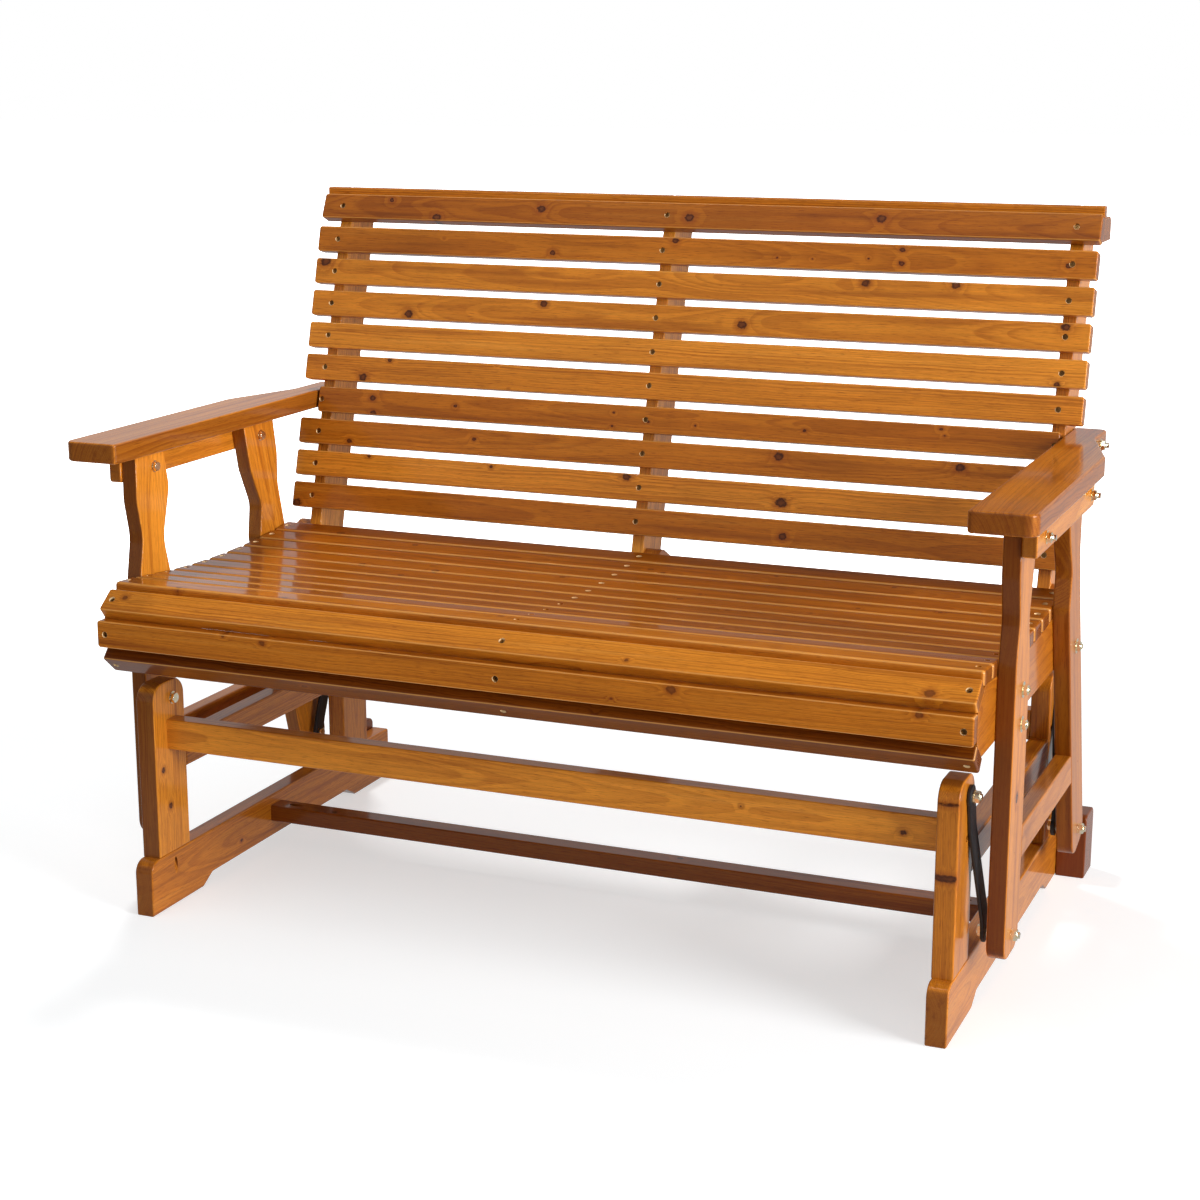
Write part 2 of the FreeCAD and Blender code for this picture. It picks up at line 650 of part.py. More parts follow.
# Fasteners
def wood_screw(length, depth, reach=BORE_REACH):
    """A screw with its counterbored hole, for a wood face at z = 0. The hole reaches out over the face."""
    stem = length - SCREW_TIP
    head = Part.makeCylinder(SCREW_HEAD_RADIUS, SCREW_HEAD_HEIGHT, V(0, 0, -depth))
    shank = Part.makeCylinder(SCREW_RADIUS, stem, V(0, 0, -depth - stem))
    tip = Part.makeCone(SCREW_TIP_RADIUS, SCREW_RADIUS, SCREW_TIP, V(0, 0, -depth - length))
    screw = head.fuse([shank, tip]).removeSplitter()
    corner = V(-SCREW_RECESS_REACH, -SCREW_RECESS_WIDTH / 2, SCREW_HEAD_HEIGHT - SCREW_RECESS - depth)
    for turn in (0, 90):
        slot = Part.makeBox(2 * SCREW_RECESS_REACH, SCREW_RECESS_WIDTH, SCREW_RECESS, corner)
        slot.rotate(V(0, 0, 0), V(0, 0, 1), turn)
        screw = screw.cut(slot)
    bore = Part.makeCylinder(COUNTERBORE_RADIUS, depth + reach, V(0, 0, -depth))
    pilot_depth = length + SCREW_ROOM
    pilot = Part.makeCylinder(SCREW_RADIUS + SCREW_ROOM, pilot_depth, V(0, 0, -depth - pilot_depth))
    return screw, bore.fuse(pilot)


class Fasteners:
    """One group of fasteners and the holes that they need in one body's boards."""

    def __init__(self):
        self.solids = []
        self.holes = []

    def screws(self, kind, places):
        screw, hole = kind
        for point, outward in places:
            self.solids.append(turned(screw, point, outward))
            self.holes.append(turned(hole, point, outward))

    def bolt(self, y, z, radius, rim, wood, pieces, stickout):
        """A bolt along X at both sides: its wood from one X to another, its pieces as (form, from, to)."""
        across = 2 * (radius + NUT_WALL)
        made = []
        for form, low_x, high_x in pieces:
            if form == "washer":
                disc = rod(low_x, high_x, radius + rim, y, z)
                made.append(disc.cut(rod(low_x, high_x, radius + WASHER_ROOM, y, z)))
            elif form == "nut":
                block = hex_block(low_x, high_x, across, y, z)
                made.append(block.cut(rod(low_x, high_x, radius + NUT_ROOM, y, z)))
            else:
                shaft = rod(low_x, pieces[-1][2] + stickout, radius, y, z)
                made.append(hex_block(low_x, high_x, across, y, z).fuse(shaft).removeSplitter())
        hole = rod(wood[0] - BORE_REACH, wood[1] + BORE_REACH, radius + BOLT_ROOM, y, z)
        self.solids.extend(made + [mirrored(piece) for piece in made])
        self.holes.extend([hole, mirrored(hole)])


def cut_holes(boards, groups):
    """Drill every fastener's hole through the boards that it meets."""
    holes = [hole for group in groups for hole in group.holes]
    for solids in boards.values():
        for index, solid in enumerate(solids):
            near = [hole for hole in holes if hole.BoundBox.intersect(solid.BoundBox)]
            if near:
                solids[index] = solid.cut(near)


def pair(point, outward):
    """The same screw place on the right and on the left."""
    return [(point, outward), (V(-point.x, point.y, point.z), V(-outward.x, outward.y, outward.z))]


# Screws of the base
pocket_lean = math.radians(POCKET_ANGLE)
pocket_side = math.sin(pocket_lean)
pocket_run = math.cos(pocket_lean)
base_screws = Fasteners()
stretcher_screw = wood_screw(FRAME_SCREW, STRETCHER_COUNTERBORE)
frame_screw = wood_screw(FRAME_SCREW, FRAME_COUNTERBORE)
pocket_screw = wood_screw(POCKET_SCREW, POCKET_DEPTH, POCKET_REACH)
for front in (STRETCHER_SETBACK, REAR_POST_FRONT):
    start = V(base_outer, front + STRETCHER_THICK / 2, STRETCHER_BOTTOM + STRETCHER_SCREW_RISE)
    base_screws.screws(stretcher_screw, pair(start, V(1, 0, 0)))
for front in (0, REAR_POST_FRONT):
    start = V(base_inner, front + POST_WIDTH / 2, RUNNER_HEIGHT - POCKET_DEPTH)
    base_screws.screws(pocket_screw, pair(start, V(-pocket_side, 0, -pocket_run)))
rail_middle = SIDE_RAIL_BOTTOM + SIDE_RAIL_HEIGHT / 2
for start_y, way in ((POST_WIDTH + POCKET_DEPTH, 1), (REAR_POST_FRONT - POCKET_DEPTH, -1)):
    start = V(base_inner, start_y, rail_middle)
    base_screws.screws(pocket_screw, pair(start, V(-pocket_side, way * pocket_run, 0)))
start = V(base_inner - POCKET_DEPTH - POCKET_REACH, LOW_STRETCHER_FRONT + LOW_STRETCHER_WIDTH / 2,
          LOW_STRETCHER_BOTTOM + LOW_STRETCHER_THICK)
base_screws.screws(pocket_screw, pair(start, V(-pocket_run, 0, pocket_side)))
for height in FOOT_SCREW_RISES:
    start = V(base_inner, foot_block_front + FOOT_BLOCK_DEPTH / 2, height)
    base_screws.screws(frame_screw, pair(start, V(-1, 0, 0)))

# Pivot bolts
hanger_top_bolts = Fasteners()
top_washer = hanger_top_x + HANGER_THICK + BODY_GAP
top_nut = top_washer + WASHER_THICK
top_head = base_inner - WASHER_THICK
for y in (front_pivot_y, rear_pivot_y):
    hanger_top_bolts.bolt(y, hanger_top_z, PIVOT_RADIUS, PIVOT_TOP_RIM, (base_inner, base_outer), [
        ("head", top_head - PIVOT_HEAD, top_head),
        ("washer", top_head, base_inner),
        ("washer", top_washer, top_nut),
        ("nut", top_nut, top_nut + PIVOT_NUT),
    ], PIVOT_TOP_STICKOUT)

hanger_bottom_bolts = Fasteners()
low_head = hanger_low_x - BODY_GAP
low_nut = leg_outer + WASHER_THICK
for y in (front_low_y, rear_low_y):
    hanger_bottom_bolts.bolt(y, low_pivot_z, PIVOT_RADIUS, PIVOT_LOW_RIM, (BENCH_HALF, leg_outer), [
        ("head", low_head - PIVOT_HEAD, low_head),
        ("nut", BENCH_HALF - SPACER_NUT, BENCH_HALF),
        ("washer", leg_outer, low_nut),
        ("nut", low_nut, low_nut + PIVOT_NUT),
    ], PIVOT_LOW_STICKOUT)

# Frame bolts
frame_bolts = Fasteners()


def frame_bolt(y, z, inner, outer, rim, stickout):
    frame_bolts.bolt(y, z, BOLT_RADIUS, rim, (inner, outer), [
        ("head", inner - WASHER_THICK - BOLT_HEAD, inner - WASHER_THICK),
        ("washer", inner - WASHER_THICK, inner),
        ("washer", outer, outer + WASHER_THICK),
        ("nut", outer + WASHER_THICK, outer + WASHER_THICK + BOLT_NUT),
    ], stickout)


def leg_bolt(y, z):
    frame_bolt(y, z, support_inner, leg_outer, LEG_BOLT_RIM, LEG_BOLT_STICKOUT)


leg_middle = FRONT_LEG_FRONT + FRONT_LEG_WIDTH / 2
for rise in FRONT_LEG_BOLT_RISES:
    leg_bolt(leg_middle, support_bottom + rise)
rear_bolt_z = support_bottom + REAR_LEG_BOLT_RISE
leg_bolt(rear_leg_front(rear_bolt_z) + rear_leg_across / 2, rear_bolt_z)
for y in (leg_middle + ARM_BOLT_FRONT_SHIFT, REAR_LEG_SHOULDER + ARM_BOLT_REAR_SHIFT):
    frame_bolt(y, arm_rail_bottom + ARM_BOLT_RISE, BENCH_HALF, arm_rail_outer, ARM_BOLT_RIM, ARM_BOLT_STICKOUT)
frame_bolt(post_bolt_y, arm_middle, post_inner, arm_waist, ARM_BOLT_RIM, ARM_BOLT_STICKOUT)

# Screws of the slats
seat_screws = Fasteners()
slat_screw = wood_screw(SLAT_SCREW, SLAT_COUNTERBORE)
support_middles = [low_x + SUPPORT_BOARD / 2 for low_x in (-BENCH_HALF, CENTRE_JOINT, support_inner)]
post_middles = [low_x + BACK_POST_BOARD / 2 for low_x in (-post_outer, centre_post, post_inner)]
for slats, middles in ((seat_slats + roll_slats, support_middles), (back_slats, post_middles)):
    for slat in slats:
        seat_screws.screws(slat_screw, [(slat.face_point(x), slat.outward()) for x in middles])

# Screws of the cap strip, the top rail, the leg rails, the armrests and the back posts
cap_screw_y = cap_rear - COUNTERBORE_RADIUS - CAP_SCREW_WALL
rail_screw_y = top_rail_rear - RAIL_SCREW_SETBACK
for screw, y, z in ((wood_screw(CAP_SCREW, CAP_COUNTERBORE), cap_screw_y, cap_top),
                    (wood_screw(FRAME_SCREW, RAIL_COUNTERBORE), rail_screw_y, top_rail_top)):
    seat_screws.screws(screw, [(V(x, y, z), V(0, 0, 1)) for x in post_middles])
leg_rail_middle = LEG_RAIL_BOTTOM + LEG_RAIL_HEIGHT / 2
for start_y, way in ((front_leg_rear + POCKET_DEPTH, 1), (rear_leg_front(leg_rail_middle) - POCKET_DEPTH, -1)):
    start = V(BENCH_HALF, start_y, leg_rail_middle)
    seat_screws.screws(pocket_screw, pair(start, V(-pocket_side, way * pocket_run, 0)))
arm_screw = wood_screw(ARM_SCREW, ARM_RAIL_HEIGHT - ARM_SCREW_BITE)
for y in (ARM_RAIL_FRONT + ARM_SCREW_FRONT, ARM_RAIL_REAR - ARM_SCREW_REAR):
    seat_screws.screws(arm_screw, pair(V(leg_outer + ARM_RAIL_THICK / 2, y, arm_rail_bottom), V(0, 0, -1)))
post_screw = wood_screw(POST_SCREW, POST_COUNTERBORE)
for rise in POST_SCREW_RISES:
    height = support_bottom + rise
    post_y = meet(post_face, level(height))[0] + POST_SCREW_SETBACK
    seat_screws.screws(post_screw, pair(V(post_inner, post_y, height), V(-1, 0, 0)))
    seat_screws.screws(post_screw, [(V(centre_post, post_y, height), V(-1, 0, 0))])

cut_holes(base_wood, [base_screws, hanger_top_bolts])
cut_holes(seat_wood, [seat_screws, frame_bolts, hanger_bottom_bolts])


# Hangers
def hanger(top_y, lean, low_hole):
    """A flat bar that hangs the seat, straight at its upper eye and stepped out to its lower eye."""
    slope_end = hanger_length - HANGER_LOWER_STRAIGHT
    line = [(hanger_top_x, 0), (hanger_top_x, -HANGER_UPPER_STRAIGHT),
            (hanger_low_x, -slope_end), (hanger_low_x, -hanger_length)]
    points = [V(x, -HANGER_WIDTH / 2, z) for x, z in line]
    points += [V(x + HANGER_THICK, -HANGER_WIDTH / 2, z) for x, z in reversed(line)]
    points.append(points[0])
    bar = Part.Face(Part.makePolygon(points)).extrude(V(0, HANGER_WIDTH, 0))
    eyes = [(hanger_top_x, 0, PIVOT_RADIUS + PIVOT_CLEARANCE), (hanger_low_x, -hanger_length, low_hole)]
    rings = [rod(x, x + HANGER_THICK, HANGER_EYE_RADIUS, 0, z) for x, z, hole in eyes]
    bar = bar.fuse(rings).removeSplitter()
    bar = bar.cut([rod(x - BORE_REACH, x + HANGER_THICK + BORE_REACH, hole, 0, z) for x, z, hole in eyes])
    bar.rotate(V(0, 0, 0), V(1, 0, 0), lean)
    bar.translate(V(0, top_y, hanger_top_z))
    return bar


hangers = {}
both_sides(hangers, "hanger", hanger(front_pivot_y, hanger_tilt, PIVOT_RADIUS + PIVOT_CLEARANCE),
           "front_{side}_{name}")
both_sides(hangers, "hanger", hanger(rear_pivot_y, -hanger_tilt, PIVOT_RADIUS + REAR_EYE_PLAY),
           "rear_{side}_{name}")

# Every node, moved so that the origin is the middle of the footprint
nodes = {}
for boards in (base_wood, seat_wood, hangers):
    nodes.update(boards)
nodes["base_screws"] = base_screws.solids
nodes["hanger_top_bolts"] = hanger_top_bolts.solids
nodes["hanger_bottom_bolts"] = hanger_bottom_bolts.solids
nodes["frame_bolts"] = frame_bolts.solids
nodes["seat_screws"] = seat_screws.solids

whole = FreeCAD.BoundBox()
for solids in nodes.values():
    for solid in solids:
        whole.add(solid.BoundBox)
middle_y = (whole.YMin + whole.YMax) / 2

os.makedirs("parts", exist_ok=True)
for name, solids in nodes.items():
    shape = solids[0] if len(solids) == 1 else Part.makeCompound(solids)
    shape.translate(V(0, -middle_y, 0))
    shape.exportStep(os.path.join("parts", name + ".step"))

print("nodes", len(nodes), "solids", sum(len(solids) for solids in nodes.values()))
print("box", [round(value, 2) for value in (whole.XLength, whole.YLength, whole.ZMin, whole.ZMax)])
print("front pivot y", round(front_pivot_y - middle_y, 3), "rear pivot y", round(rear_pivot_y - middle_y, 3))
print("low pivots", round(front_low_y - middle_y, 3), round(rear_low_y - middle_y, 3), round(low_pivot_z, 3))
print("footprint middle", round(middle_y, 3))
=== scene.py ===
import bpy
import bmesh
import json
import math
import random
from mathutils import Matrix, Vector

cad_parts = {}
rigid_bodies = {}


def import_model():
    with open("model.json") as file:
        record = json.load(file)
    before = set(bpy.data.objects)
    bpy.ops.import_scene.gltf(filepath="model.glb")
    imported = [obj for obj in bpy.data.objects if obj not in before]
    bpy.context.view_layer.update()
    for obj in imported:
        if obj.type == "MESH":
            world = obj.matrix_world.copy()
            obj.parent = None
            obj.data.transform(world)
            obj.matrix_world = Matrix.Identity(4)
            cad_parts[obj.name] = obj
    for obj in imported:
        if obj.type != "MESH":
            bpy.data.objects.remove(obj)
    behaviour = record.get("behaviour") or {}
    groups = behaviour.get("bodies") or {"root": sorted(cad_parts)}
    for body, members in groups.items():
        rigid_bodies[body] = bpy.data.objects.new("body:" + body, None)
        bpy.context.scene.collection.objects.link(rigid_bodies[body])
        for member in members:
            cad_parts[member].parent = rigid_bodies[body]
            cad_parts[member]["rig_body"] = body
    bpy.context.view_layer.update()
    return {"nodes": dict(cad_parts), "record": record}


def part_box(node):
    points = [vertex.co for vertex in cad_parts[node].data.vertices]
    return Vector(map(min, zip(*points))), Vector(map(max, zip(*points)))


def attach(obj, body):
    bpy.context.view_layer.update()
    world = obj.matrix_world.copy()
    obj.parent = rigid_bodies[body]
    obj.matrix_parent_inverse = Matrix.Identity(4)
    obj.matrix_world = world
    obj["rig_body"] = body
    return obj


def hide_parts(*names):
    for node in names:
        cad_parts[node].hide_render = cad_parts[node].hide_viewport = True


# A varnished wooden porch glider. Lengths are metres in the bench's own frame: +X runs to the right hand end
# seen from the front, +Y to the back, and Z up from the floor. The sizes of wood grain are millimetres.

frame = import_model()
slot_of = {part["node"]: part["material_slot"] for part in frame["record"]["subparts"]}

# Camera: its lens in millimetres, its place in metres, its dip and turn in degrees
LENS = 68.1
SENSOR = 36.0
CAMERA_RIGHT = 1.123
CAMERA_AHEAD = 2.449
CAMERA_HEIGHT = 1.134
CAMERA_DIP = 13.49
CAMERA_TURN = 22.49
SHIFT_RIGHT = 0.00108
SHIFT_UP = -0.00246


def place_camera():
    data = bpy.data.cameras.new("camera")
    data.lens = LENS
    data.sensor_width = SENSOR
    data.shift_x = SHIFT_RIGHT
    data.shift_y = SHIFT_UP
    camera = bpy.data.objects.new("camera", data)
    post_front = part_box("front_left_post")[0].y
    camera.location = (CAMERA_RIGHT, post_front - CAMERA_AHEAD, CAMERA_HEIGHT)
    camera.rotation_euler = (math.radians(90 - CAMERA_DIP), 0, math.radians(CAMERA_TURN))
    bpy.context.scene.collection.objects.link(camera)
    bpy.context.scene.camera = camera


place_camera()


# Shader arithmetic
BUMP_STRENGTH = 0.5


class Wire:
    """A shader value that takes part in arithmetic. Each operator adds one Math node."""

    def __init__(self, finish, socket):
        self.finish = finish
        self.socket = socket

    def maths(self, operation, *others):
        return self.finish.maths(operation, self, *others)

    def __add__(self, other):
        return self.maths("ADD", other)

    def __radd__(self, other):
        return self.finish.maths("ADD", other, self)

    def __sub__(self, other):
        return self.maths("SUBTRACT", other)

    def __rsub__(self, other):
        return self.finish.maths("SUBTRACT", other, self)

    def __mul__(self, other):
        return self.maths("MULTIPLY", other)

    def __truediv__(self, other):
        return self.maths("DIVIDE", other)


class Shading:
    """A node tree that is written as expressions, for a material or for the world."""

    def __init__(self, owner):
        owner.use_nodes = True
        self.tree = owner.node_tree
        self.tree.nodes.clear()

    def node(self, kind, settings=None, sockets=None, output=0):
        """Add a node, set its settings, fill its sockets with values or wires, and give an output."""
        made = self.tree.nodes.new("ShaderNode" + kind)
        for name, value in (settings or {}).items():
            setattr(made, name, value)
        for name, value in (sockets or {}).items():
            if isinstance(value, Wire):
                self.tree.links.new(value.socket, made.inputs[name])
            else:
                made.inputs[name].default_value = value
        return Wire(self, made.outputs[output]) if made.outputs else None

    def maths(self, operation, *values):
        return self.node("Math", {"operation": operation}, dict(enumerate(values)))

    def step(self, value, low, high):
        """Go smoothly from 0 at low to 1 at high. Low may be the larger of the two."""
        return self.node("MapRange", {"interpolation_type": "SMOOTHSTEP"},
                         {"Value": value, "From Min": low, "From Max": high})

    def mix(self, factor, first, second):
        """Blend two colours. They are sockets 6 and 7 of a Mix node, and its output 2."""
        return self.node("Mix", {"data_type": "RGBA"}, {0: factor, 6: first, 7: second}, 2)

    def lay(self, colour, over, mask, low, high, share):
        """Lay a second colour over the first as a mask goes from low to high, up to the given share."""
        return self.mix(self.step(mask, low, high) * share, colour, over)

    def vector(self, operation, *values):
        return self.node("VectorMath", {"operation": operation}, dict(enumerate(values)))

    def measure(self, operation, *values):
        """A vector operation that gives a number, such as a length or a distance."""
        return self.node("VectorMath", {"operation": operation}, dict(enumerate(values)), "Value")

    def axis(self, place, letter):
        return self.node("SeparateXYZ", None, {0: place}, letter)

    def dim(self, colour, light):
        return self.node("VectorMath", {"operation": "SCALE"}, {0: colour, "Scale": light})

    def noise(self, at, stretch, detail=2.0, roughness=0.5):
        """A noise value from 0 to 1, read at a place that is first stretched along each axis."""
        place = self.vector("MULTIPLY", at, stretch)
        return self.node("TexNoise", None,
                         {"Vector": place, "Scale": 1.0, "Detail": detail, "Roughness": roughness})

    def bump(self, height, distance):
        return self.node("Bump", None, {"Height": height, "Distance": distance, "Strength": BUMP_STRENGTH})


class Finish(Shading):
    """One material, from its first texture to its Principled surface."""

    def __init__(self, name):
        self.material = bpy.data.materials.new(name)
        super().__init__(self.material)

    def surface(self, **sockets):
        """End the material in a Principled surface. A socket's name has underscores for its spaces."""
        named = {name.replace("_", " "): value for name, value in sockets.items()}
        shader = self.node("BsdfPrincipled", None, named)
        self.node("OutputMaterial", None, {"Surface": shader})
        return self.material


def stain(red, green, blue):
    """A colour given as it looks on a screen, from 0 to 255, turned to light by the sRGB curve."""
    return tuple(((part / 255 + 0.055) / 1.055) ** 2.4 for part in (red, green, blue)) + (1.0,)


# Doubles of the solids: distances in metres, angles between faces in radians
JOIN_WITHIN = 0.00001
FLAT_WITHIN = math.radians(0.6)
ROUND_OFF_FROM = math.radians(40)
CREASE_FROM = math.radians(32)
LARGE_FACES_LEAD = 100


def clean_double(node, name, soft_edge=0.0):
    """A double of a CAD solid with its triangles joined to plain faces and its round edges shaded smooth."""
    mesh = frame["nodes"][node].data.copy()
    mesh.name = name
    shape = bmesh.new()
    shape.from_mesh(mesh)
    bmesh.ops.remove_doubles(shape, verts=shape.verts, dist=JOIN_WITHIN)
    bmesh.ops.dissolve_limit(shape, angle_limit=FLAT_WITHIN, verts=shape.verts, edges=shape.edges)
    if soft_edge:
        sharp = [edge for edge in shape.edges if edge.calc_face_angle(0) > ROUND_OFF_FROM]
        bmesh.ops.bevel(shape, geom=sharp, offset=soft_edge, offset_type="OFFSET", segments=2, profile=0.5,
                        affect="EDGES", clamp_overlap=True, material=-1)
    shape.to_mesh(mesh)
    shape.free()
    mesh.materials.clear()
    mesh.shade_smooth()
    mesh.set_sharp_from_angle(angle=CREASE_FROM)
    piece = bpy.data.objects.new(name, mesh)
    bpy.context.scene.collection.objects.link(piece)
    weights = piece.modifiers.new("flat faces lead", "WEIGHTED_NORMAL")
    weights.keep_sharp = True
    weights.weight = LARGE_FACES_LEAD
    return piece


def put_in_place(piece, node, slot, finish):
    """Give a double its finish, and let it stand for its solid."""
    piece.data.materials.append(finish)
    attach(piece, frame["nodes"][node]["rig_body"])
    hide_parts(node)


# Boards. A long face leans along its board by less than this, and the outer one of a pair faces FRONT.
SIDE_LEAN = 0.05
FRONT = Vector((1, -1, 1))


def grain_frame(mesh):
    """A board's middle and its grain axes: along its longest edge, across, and out of its widest face."""
    ends = [[mesh.vertices[i].co for i in edge.vertices] for edge in mesh.edges]
    long_edge = max(ends, key=lambda pair: (pair[1] - pair[0]).length)
    along = (long_edge[1] - long_edge[0]).normalized()
    if max(along, key=abs) < 0:
        along = -along
    faces = [face for face in mesh.polygons if abs(face.normal.dot(along)) < SIDE_LEAN]
    outward = max(faces, key=lambda face: face.area).normal.copy()
    outward = (outward - along * outward.dot(along)).normalized()
    if outward.dot(FRONT) < 0:
        outward = -outward
    across = outward.cross(along)
    corners = [vertex.co for vertex in mesh.vertices]
    middle = Vector([(max(c[i] for c in corners) + min(c[i] for c in corners)) / 2 for i in range(3)])
    return middle, Matrix((along, across, outward)).transposed().to_euler()


EARLY_WOOD = stain(206, 125, 32)
LATE_WOOD = stain(156, 80, 14)
DARK_STREAK = stain(124, 54, 8)
PALE_STREAK = stain(230, 156, 60)
KNOT_HEART = stain(138, 72, 28)
KNOT_RIM = stain(56, 22, 6)
KNOT_HALO = stain(146, 70, 18)
RED_STAIN = stain(96, 34, 12)
END_GRAIN = stain(116, 56, 16)
# The dark colour for the thin edges is partly a darker stain and partly painted shade on faces that the light
# misses.
EDGE_STAIN_AND_SHADE = stain(88, 36, 6)
# The pale colour for the rounded slat edges is partly wear and partly a painted highlight where the edges
# catch the light.
WORN_EDGE_AND_HIGHLIGHT = stain(246, 178, 92)
BARE_WOOD = stain(250, 214, 160)
DEEPER_TINT = 0.4
DEEPER_SHADE = 0.75


def deeper(colour, depth):
    """A stain laid on thicker, which turns it darker and a little redder. On some boards this darkening is
    painted shade, and a thinner stain is painted light.
    """
    more = depth - 1
    tint = 1 + DEEPER_TINT * more
    shade = 1 - DEEPER_SHADE * more
    return tuple(part ** tint * shade for part in colour[:3]) + (1.0,)


# Knots seen on the boards, as (along, across, radius) in millimetres from the board's middle
KNOTS = {
    "back_slat_1": ((-468, 11, 3.7), (-389, -14, 5.9), (-224, 4, 5.8), (5, -3, 6.3), (283, 3, 6.1)),
    "back_slat_2": ((-372, 6, 1.5), (-197, -9, 4.3), (-11, 14, 4.6), (141, -5, 2.1), (192, -5, 1.6),
                    (272, -2, 2.0), (318, 12, 3.7), (318, -7, 3.7), (544, -2, 3.9)),
    "back_slat_3": ((-565, 14, 7.5), (271, 13, 5.4), (396, 15, 5.4)),
    "back_slat_4": ((-418, -11, 5.9), (-203, 13, 5.0), (100, -4, 6.0), (548, 13, 5.3)),
    "back_slat_5": ((544, -15, 3.9),),
    "back_slat_6": ((-441, 15, 3.2), (-483, -12, 5.9), (-267, 17, 1.4), (-245, -16, 1.4)),
    "back_slat_7": ((-463, 6, 4.4), (-460, -16, 4.4), (-327, 2, 2.9), (-78, 7, 2.1), (-79, -12, 2.1),
                    (-24, -3, 2.1), (46, -4, 2.1), (205, -1, 2.7), (395, 13, 2.7), (401, 4, 2.0)),
    "back_slat_8": ((-495, -12, 3.7), (-292, 4, 2.9), (172, 9, 5.9), (426, 11, 5.7)),
    "back_slat_9": ((-460, 16, 3.0), (-260, 14, 2.9), (-49, 14, 5.6), (182, -6, 6.9)),
    "back_slat_10": ((-573, -13, 6.0), (189, -4, 5.1)),
    "seat_slat_1": ((-473, -14, 5.9),),
    "seat_slat_2": ((-338, 8, 4.3), (30, -6, 4.0), (51, -16, 3.5), (204, 14, 3.2), (368, 11, 3.4)),
    "seat_slat_4": ((-498, 17, 3.6), (-361, -17, 4.2), (-248, -16, 4.8), (-70, 11, 4.1), (136, -9, 3.2),
                    (350, -6, 3.1), (453, 11, 3.0)),
    "seat_slat_5": ((-280, -12, 4.8), (120, 4, 4.0), (70, 15, 2.6), (301, -6, 2.5)),
    "seat_slat_6": ((-117, -6, 3.3), (-66, 15, 4.0), (199, 12, 3.3)),
    "seat_slat_8": ((230, -5, 3.2),),
    "seat_slat_10": ((-484, -16, 3.9), (-328, -13, 4.6), (-34, 9, 3.7)),
    "roll_slat_1": ((-552, 5, 3.9), (158, -9, 2.6), (526, -10, 5.5)),
    "roll_slat_2": ((-390, 16, 2.5), (-333, 12, 3.8), (111, 22, 2.1), (144, -8, 2.1), (220, 11, 5.4),
                    (518, 14, 4.4)),
    "roll_slat_3": ((-284, -4, 3.8), (118, -24, 2.9)),
    "front_left_post": ((0, 20, 4.0), (-54, 6, 4.6)),
    "front_right_post": ((6, 40, 4.6), (96, 40, 3.4)),
    "left_runner": ((-113, -3, 3.2),),
    "front_stretcher": ((283, 4, 2.4), (485, -2, 4.0)),
    "lower_stretcher": ((-430, -6, 4.3), (102, 4, 4.1)),
    "front_right_leg": ((-69, 6, 5.9),),
}


# Grain, in millimetres of its board. A noise's three numbers say how fast it changes along the board, across
# it and through it. A range is a low and a high end. A reach is where a mark starts and where it is full.
MILLIMETRE = 0.001
TONE = (0.95, 1.05)
APART = 900

KNOT_DRAWN_OUT = 0.8
KNOT_THROUGH = 0.15
KNOT_RAGGED = (0.2, 0.24, 0.1)
KNOT_WOBBLE = 1.1
NO_KNOT = 9
HALO_REACH = (2.3, 0.9)
RIM_REACH = (1.14, 0.72)
HEART_REACH = (0.8, 0.3)
HALO_SHARE = 0.5
HEART_SHARE = 0.5

FLAT_SAWN_SHARE = 0.5
PITH_UNDER = (-16, 16)
PITH_UNDER_DEPTH = (28, 60)
PITH_BESIDE = (60, 120)
PITH_BESIDE_DEPTH = (10, 50)
TAPER = (0.008, 0.02)
RING_WIDTH = (2.6, 4.2)
RING_DRIFT = (0.0022, 0.006, 0.006)
RING_SWAY = (0.007, 0.012, 0.012)
DRIFT_WIDTH = 26
SWAY_WIDTH = 9
BULGE_HEIGHT = 5
BULGE_FALL = 0.22
WIDTH_CHANGE = 0.11
WIDTH_SPREAD = 5
LATE_WOOD_REACH = (0.3, 0.92)
RING_END_REACH = (0.93, 1.0)
RING_FADE = (0.004, 0.03, 0.03)
FAINTEST_RING = 0.1
FLAT_SAWN_RINGS = 0.6
QUARTER_SAWN_RINGS = 1.0

FIBRES = (0.022, 0.9, 0.9)
PORES = (0.06, 1.2, 1.2)
STREAKS = (0.0026, 0.075, 0.075)
BLOTCHES = (0.005, 0.016, 0.016)
BLOTCH_LIGHT = 0.4
FIBRE_LIGHT = 0.78

END_REACH = (0.72, 0.9)
END_SHARE = 0.55
END_SHADE = 0.2
EDGE_REACH = (0.6, 0.9)
# Between these reaches the rounded slat edges are painted pale, partly as wear and partly as a painted
# highlight.
ROUNDING_START = (0.25, 0.5)
ROUNDING_END = (0.95, 0.75)
WORN_AND_HIGHLIGHT_SHARE = 0.45
SCREW_HOLE = 4.05

GRAIN_HEIGHT = 0.00012
LATE_WOOD_RISE = 0.25
FIBRE_RISE = 0.4
PORE_RISE = 0.3
KNOT_FALL = 0.4
VARNISHED = 0.36
FIBRE_ROUGHNESS = 0.14
END_ROUGHNESS = 0.14


